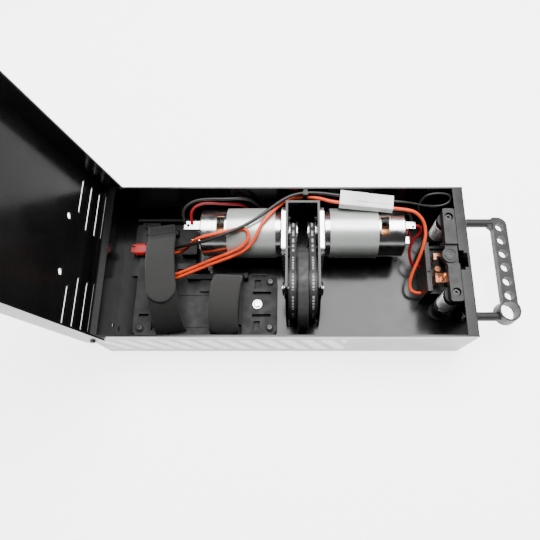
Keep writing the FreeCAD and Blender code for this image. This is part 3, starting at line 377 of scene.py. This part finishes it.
def lead(name, node, points, diameter, length, slot_name, **facts):
    """A wire as a smooth curve; its first point is where it leaves the object."""
    points = millimetres(points)
    curve = bpy.data.curves.new(name, "CURVE")
    curve.dimensions = "3D"
    curve.bevel_depth = diameter * MM / 2
    curve.bevel_resolution = 5
    curve.resolution_u = 10
    curve.use_fill_caps = True
    spline = curve.splines.new("NURBS")
    spline.points.add(len(points) - 1)
    for place, point in zip(spline.points, points):
        place.co = (*point, 1)
    spline.order_u = 3
    spline.use_endpoint_u = True
    obj = bpy.data.objects.new(name, curve)
    bpy.context.scene.collection.objects.link(obj)
    wear(obj, LOOKS[slot_name])
    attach(obj, "chassis")
    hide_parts(node)
    return obj


lead("battery_lead_black_wire", "battery_lead_black",
     [(52.13, 59.48, 58.9), (42.7, 60.57, 58.9), (32, 62, 59.3), (21, 62.2, 59.6), (9, 60.5, 59.7),
      (-1.6, 54.8, 59.9), (-11.8, 46, 60.6), (-22.7, 36.5, 61.5), (-34.5, 28.8, 62), (-47, 23, 61.8),
      (-60.5, 18.3, 59.6), (-74.5, 16.8, 53.5), (-86.3, 20, 40.7), (-94.7, 24.9, 27),
      (-101, 28, 15.5), (-113, 29.5, 13), (-126, 29.5, 13)],
     3.0, 213, "black_silicone", far_end="plug", with_pieces=[nodes["battery_plug"]])
lead("battery_lead_red_wire", "battery_lead_red",
     [(-126, 24.5, 13), (-113, 24.5, 12.5), (-101.5, 23.4, 13), (-91, 22.2, 24), (-82, 22.3, 39.6),
      (-75.5, 21.3, 52.6), (-63, 22.8, 57.5), (-50.8, 25.7, 58.2), (-39, 28.3, 58.3),
      (-30.5, 28, 58.4), (-29.5, 20.5, 55.6), (-36, 14, 50.8), (-46.7, 11.6, 44.5),
      (-61.4, 8.5, 38.2), (-75.6, 5, 31.3), (-90.3, 1.8, 23.5), (-103, 0, 17), (-115, -1, 14)],
     3.0, 223, "red_silicone")
lead("main_lead_red_wire", "main_lead_red",
     [(51.33, 52.52, 58.9), (41.9, 53.61, 58.9), (32.5, 57.5, 57.3), (21.5, 60.3, 55),
      (11.5, 60.6, 54), (2.5, 58.2, 53.8), (-3.2, 52.8, 55.3), (-9.5, 45, 58.3),
      (-15.9, 36.3, 60.3), (-20.5, 29, 59.3), (-24, 21, 55.6), (-31.5, 13.2, 48.3),
      (-46, 8.9, 41.8), (-61, 5.8, 35.5), (-76, 2.2, 28.8), (-90.8, -0.9, 21),
      (-103.2, -2.9, 14.2), (-115, -5, 11)],
     3.0, 204, "red_silicone")
lead("jumper_black_wire", "jumper_black",
     [(-86.5, 37.5, 48.2), (-89, 44.3, 54), (-84.5, 51, 57.8), (-75.6, 55.5, 58.6),
      (-63.5, 56.6, 58.6), (-51.3, 56.5, 58.4), (-39.2, 58, 57), (-31, 60, 51), (-26, 61.3, 41),
      (-22, 61.3, 29), (-11, 61.2, 17.5), (5, 61, 12.5), (25, 61.2, 11), (50, 61, 10.5),
      (75, 61, 11.5), (94, 60.5, 16.5), (107, 58.5, 26), (112, 54, 36.5), (112.8, 47.5, 44),
      (112.5, 39.8, 47.1)],
     2.6, 266, "black_silicone")
lead("jumper_red_wire", "jumper_red",
     [(-80.5, 37.5, 48.2), (-82, 44.5, 53), (-77.7, 51, 55.3), (-69, 54.3, 55.8),
      (-57.8, 54.5, 53.8), (-46, 55.5, 50.5), (-38, 58.5, 43.5), (-34, 60, 33), (-29.5, 59, 21.5),
      (-20, 57.6, 11), (-6, 57.3, 6.5), (12, 57.2, 5), (35, 57, 4.6), (60, 57, 4.8),
      (82, 57.5, 6.5), (98, 57, 10.5), (108.5, 52.5, 17.5), (112.2, 45, 25), (113, 36.5, 30.3),
      (112.3, 29.5, 35.5), (110.6, 25.5, 39.8)],
     2.6, 265, "dark_red_silicone")
lead("supply_lead_black_wire", "supply_lead_black",
     [(91.87, 54.88, 58.9), (103.8, 53.5, 58.9), (112, 53.2, 57.2), (121, 52.2, 55),
      (130, 51.8, 53.7), (138.5, 52.5, 53.7), (145.3, 55.2, 55.2), (146.3, 59.8, 57.9),
      (140, 61.5, 59.3), (131.5, 61.5, 59.6), (123.5, 60.2, 57.8), (119, 55.5, 50.5),
      (120.5, 50.3, 42.5), (125, 45, 34), (129.5, 38.5, 26), (131, 31.5, 20.5), (131, 24, 20)],
     2.0, 139, "black_silicone")
lead("supply_lead_red_wire", "supply_lead_red",
     [(91.07, 47.9, 58.9), (103.5, 46.46, 58.9), (114.2, 45.3, 56.8), (122, 39.5, 51.5),
      (125, 30, 45.5), (122.6, 18.5, 40), (119, 8.5, 29.5), (114.6, -1, 21.5), (113.4, -9, 15),
      (116.5, -15, 12), (124, -15, 12)],
     3.0, 111, "red_silicone")
lead("motor_lead_dark_red_wire", "motor_lead_dark_red",
     [(115.3, 36.5, 47.1), (120.5, 36.2, 46.6), (121, 31.7, 41), (115.8, 28.8, 35.5),
      (112.6, 21.5, 29.5), (114, 13.5, 22.5), (117.8, 8.5, 17.5), (124, 8.5, 17.5)],
     2.6, 53, "dark_red_silicone")


# Straps

def arc(a, b, c, steps):
    """Points on the circle through three (along, height) points, from a to c."""
    d = 2 * (a[0] * (b[1] - c[1]) + b[0] * (c[1] - a[1]) + c[0] * (a[1] - b[1]))
    sq = [p[0] ** 2 + p[1] ** 2 for p in (a, b, c)]
    ux = (sq[0] * (b[1] - c[1]) + sq[1] * (c[1] - a[1]) + sq[2] * (a[1] - b[1])) / d
    uy = (sq[0] * (c[0] - b[0]) + sq[1] * (a[0] - c[0]) + sq[2] * (b[0] - a[0])) / d
    radius = math.hypot(a[0] - ux, a[1] - uy)
    first = math.atan2(a[1] - uy, a[0] - ux)
    last = math.atan2(c[1] - uy, c[0] - ux)
    turn = (last - first) % (2 * math.pi)
    middle = (math.atan2(b[1] - uy, b[0] - ux) - first) % (2 * math.pi)
    if middle > turn:
        turn -= 2 * math.pi
    return [(ux + radius * math.cos(first + turn * k / steps),
             uy + radius * math.sin(first + turn * k / steps)) for k in range(steps + 1)]


def arch_line(outline, steps=40):
    return arc(*outline[0:3], steps) + arc(*outline[2:5], steps)[1:]


def ribbon(name, look, line, width, drop, thick, foot, heading, rounded_end, flat_length,
           nodes_named):
    """Webbing along a line of (along, height) points, drop below it, as a closed mesh."""
    turn = math.radians(heading)
    across = 12
    lengths = [0.0]
    for p, q in zip(line, line[1:]):
        lengths.append(lengths[-1] + math.hypot(q[0] - p[0], q[1] - p[1]))
    total = lengths[-1]
    verts = []
    texture = []
    for k, point in enumerate(line):
        before, after = line[max(k - 1, 0)], line[min(k + 1, len(line) - 1)]
        run = math.hypot(after[0] - before[0], after[1] - before[1])
        normal = (-(after[1] - before[1]) / run, (after[0] - before[0]) / run)
        left = total - lengths[k]
        half = width / 2
        if rounded_end and left < half:
            half *= math.sqrt(max(1 - ((half - left) / half) ** 2, 0.02))
        for face in (0, 1):
            for j in range(across + 1):
                side = -1 + 2 * j / across
                edge = 0.35 * abs(side) ** 8 * (1 if face == 0 else -1)
                down = drop + (thick if face else 0) + edge
                along = point[0] - normal[0] * down
                high = point[1] - normal[1] * down
                lateral = side * half
                x = foot[0] + along * math.cos(turn) - lateral * math.sin(turn)
                y = foot[1] + along * math.sin(turn) + lateral * math.cos(turn)
                verts.append((x * MM, y * MM, high * MM))
                texture.append((j / across, lengths[k] * MM))
    row = 2 * (across + 1)
    faces = []
    for k in range(len(line) - 1):
        a, b = k * row, (k + 1) * row
        for j in range(across):
            faces.append((a + j, a + j + 1, b + j + 1, b + j))
            low_a, low_b = a + across + 1, b + across + 1
            faces.append((low_a + j, low_b + j, low_b + j + 1, low_a + j + 1))
        faces.append((a, b, b + across + 1, a + across + 1))
        faces.append((a + across, a + 2 * across + 1, b + 2 * across + 1, b + across))
    for start, order in ((0, 1), ((len(line) - 1) * row, -1)):
        for j in range(across):
            quad = (start + j, start + across + 1 + j, start + across + 2 + j, start + j + 1)
            faces.append(quad[::order])
    mesh = bpy.data.meshes.new(name)
    mesh.from_pydata(verts, [], faces)
    layer = mesh.uv_layers.new(name="weave")
    for loop in mesh.loops:
        layer.data[loop.index].uv = texture[loop.vertex_index]
    for face in mesh.polygons:
        face.use_smooth = True
    mesh.update()
    obj = bpy.data.objects.new(name, mesh)
    bpy.context.scene.collection.objects.link(obj)
    wear(obj, look)
    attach(obj, "chassis")
    if nodes_named:
        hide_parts(*nodes_named)
    return obj


LEFT_ARCH = [(0, 8.5), (24, 29), (62, 38), (88, 29), (99, 7)]
RIGHT_ARCH = [(0, 19), (9, 31), (27, 37), (46, 29), (55, 7)]
OVER_BAR = [(-6.5, 12.6), (-4.5, 13.1), (-2, 13.6), (1, 14.4), (4, 15.6)]
JOINS_ARCH_AT = 7.5
LEFT_END_AT = 76.5
RIGHT_END_POINTS = 76
LEFT_PLACE = ((-116.5, 45.0), -80.5)
RIGHT_PLACE = ((-50.0, 0.5), -93.0)
BAND_WIDTH = 26.0
END_WIDTH = 25.4
BAND = (1.6, 1.3)
END = (0.0, 1.4)
OVER_LOOK = LOOKS["webbing"]

left_line = OVER_BAR + [p for p in arch_line(LEFT_ARCH) if p[0] > JOINS_ARCH_AT]
left_end = [p for p in left_line if p[0] < LEFT_END_AT]
right_line = arch_line(RIGHT_ARCH)
right_end = right_line[:RIGHT_END_POINTS]
# The bands wear the darker webbing copy, painted shade on the lower layer; the ends wear the
# upper-layer webbing
ribbon("strap_left_band", SHADED_WEBBING_LOOK, left_line, BAND_WIDTH, *BAND, *LEFT_PLACE, False, 124,
       ["strap_left"])
ribbon("strap_left_end", OVER_LOOK, left_end, END_WIDTH, *END, *LEFT_PLACE, True, 99, [])
ribbon("strap_right_band", SHADED_WEBBING_LOOK, right_line, BAND_WIDTH, *BAND, *RIGHT_PLACE, False, 80,
       ["strap_right"])
ribbon("strap_right_end", OVER_LOOK, right_end, END_WIDTH, *END, *RIGHT_PLACE, True, 72, [])


# Stage and light

def plane(name, size, place, look):
    mesh = bpy.data.meshes.new(name)
    half = size / 2
    mesh.from_pydata([(-half, -half, 0), (half, -half, 0), (half, half, 0), (-half, half, 0)],
                     [], [(0, 1, 2, 3)])
    obj = bpy.data.objects.new(name, mesh)
    obj.location = place
    bpy.context.scene.collection.objects.link(obj)
    obj.data.materials.append(look.mat)
    return obj


def floor_paint():
    """White floor that gives off light round the box and less further out."""
    look = Look("floor", (0.95, 0.95, 0.95), 0.8, spec=0.1)
    look.mottled((0.94, 0.94, 0.94), (0.96, 0.96, 0.96), 2)
    x, y = look.axis("X"), look.axis("Y")
    far_out = look.math("SQRT", look.math("ADD", look.math("POWER", x, 2),
                                          look.math("POWER", y, 2)))
    look.link(look.band(far_out, 0.42, 1.1, 3.6, 1.5), look.shader.inputs["Emission Strength"])
    look.set("Emission Color", (1, 1, 1, 1))
    return look


plane("floor", 6.0, (0, 0, -0.0006), floor_paint())


def softbox(name, place, target, size, power, size_y=None):
    light = bpy.data.lights.new(name, "AREA")
    light.shape = "RECTANGLE"
    light.size = size
    light.size_y = size_y or size
    light.energy = power
    obj = bpy.data.objects.new(name, light)
    obj.location = place
    obj.rotation_euler = (Vector(target) - Vector(place)).to_track_quat("-Z", "Y").to_euler()
    bpy.context.scene.collection.objects.link(obj)
    return obj


softbox("key", (0.07, 0.38, 1.2), (0.07, 0.05, 0.0), 0.86, 40, size_y=0.95)
softbox("rim", (0.78, 0.38, 1.2), (0.3, 0.05, 0.0), 0.5, 6, size_y=0.95)
softbox("left", (-0.95, -0.35, 0.9), (0, 0, 0.05), 0.7, 0.6)


def surroundings():
    """White near the horizon and almost dark overhead."""
    world = bpy.data.worlds.new("world")
    world.use_nodes = True
    tree = world.node_tree
    background = tree.nodes["Background"]
    background.inputs["Color"].default_value = (1, 1, 1, 1)
    way = tree.nodes.new("ShaderNodeTexCoord")
    split = tree.nodes.new("ShaderNodeSeparateXYZ")
    fade = tree.nodes.new("ShaderNodeMapRange")
    fade.interpolation_type = "SMOOTHSTEP"
    for socket, value in (("From Min", 0.12), ("From Max", 0.42), ("To Min", 1.5),
                          ("To Max", 0.04)):
        fade.inputs[socket].default_value = value
    tree.links.new(way.outputs["Generated"], split.inputs[0])
    tree.links.new(split.outputs["Z"], fade.inputs["Value"])
    tree.links.new(fade.outputs["Result"], background.inputs["Strength"])
    bpy.context.scene.world = world


surroundings()
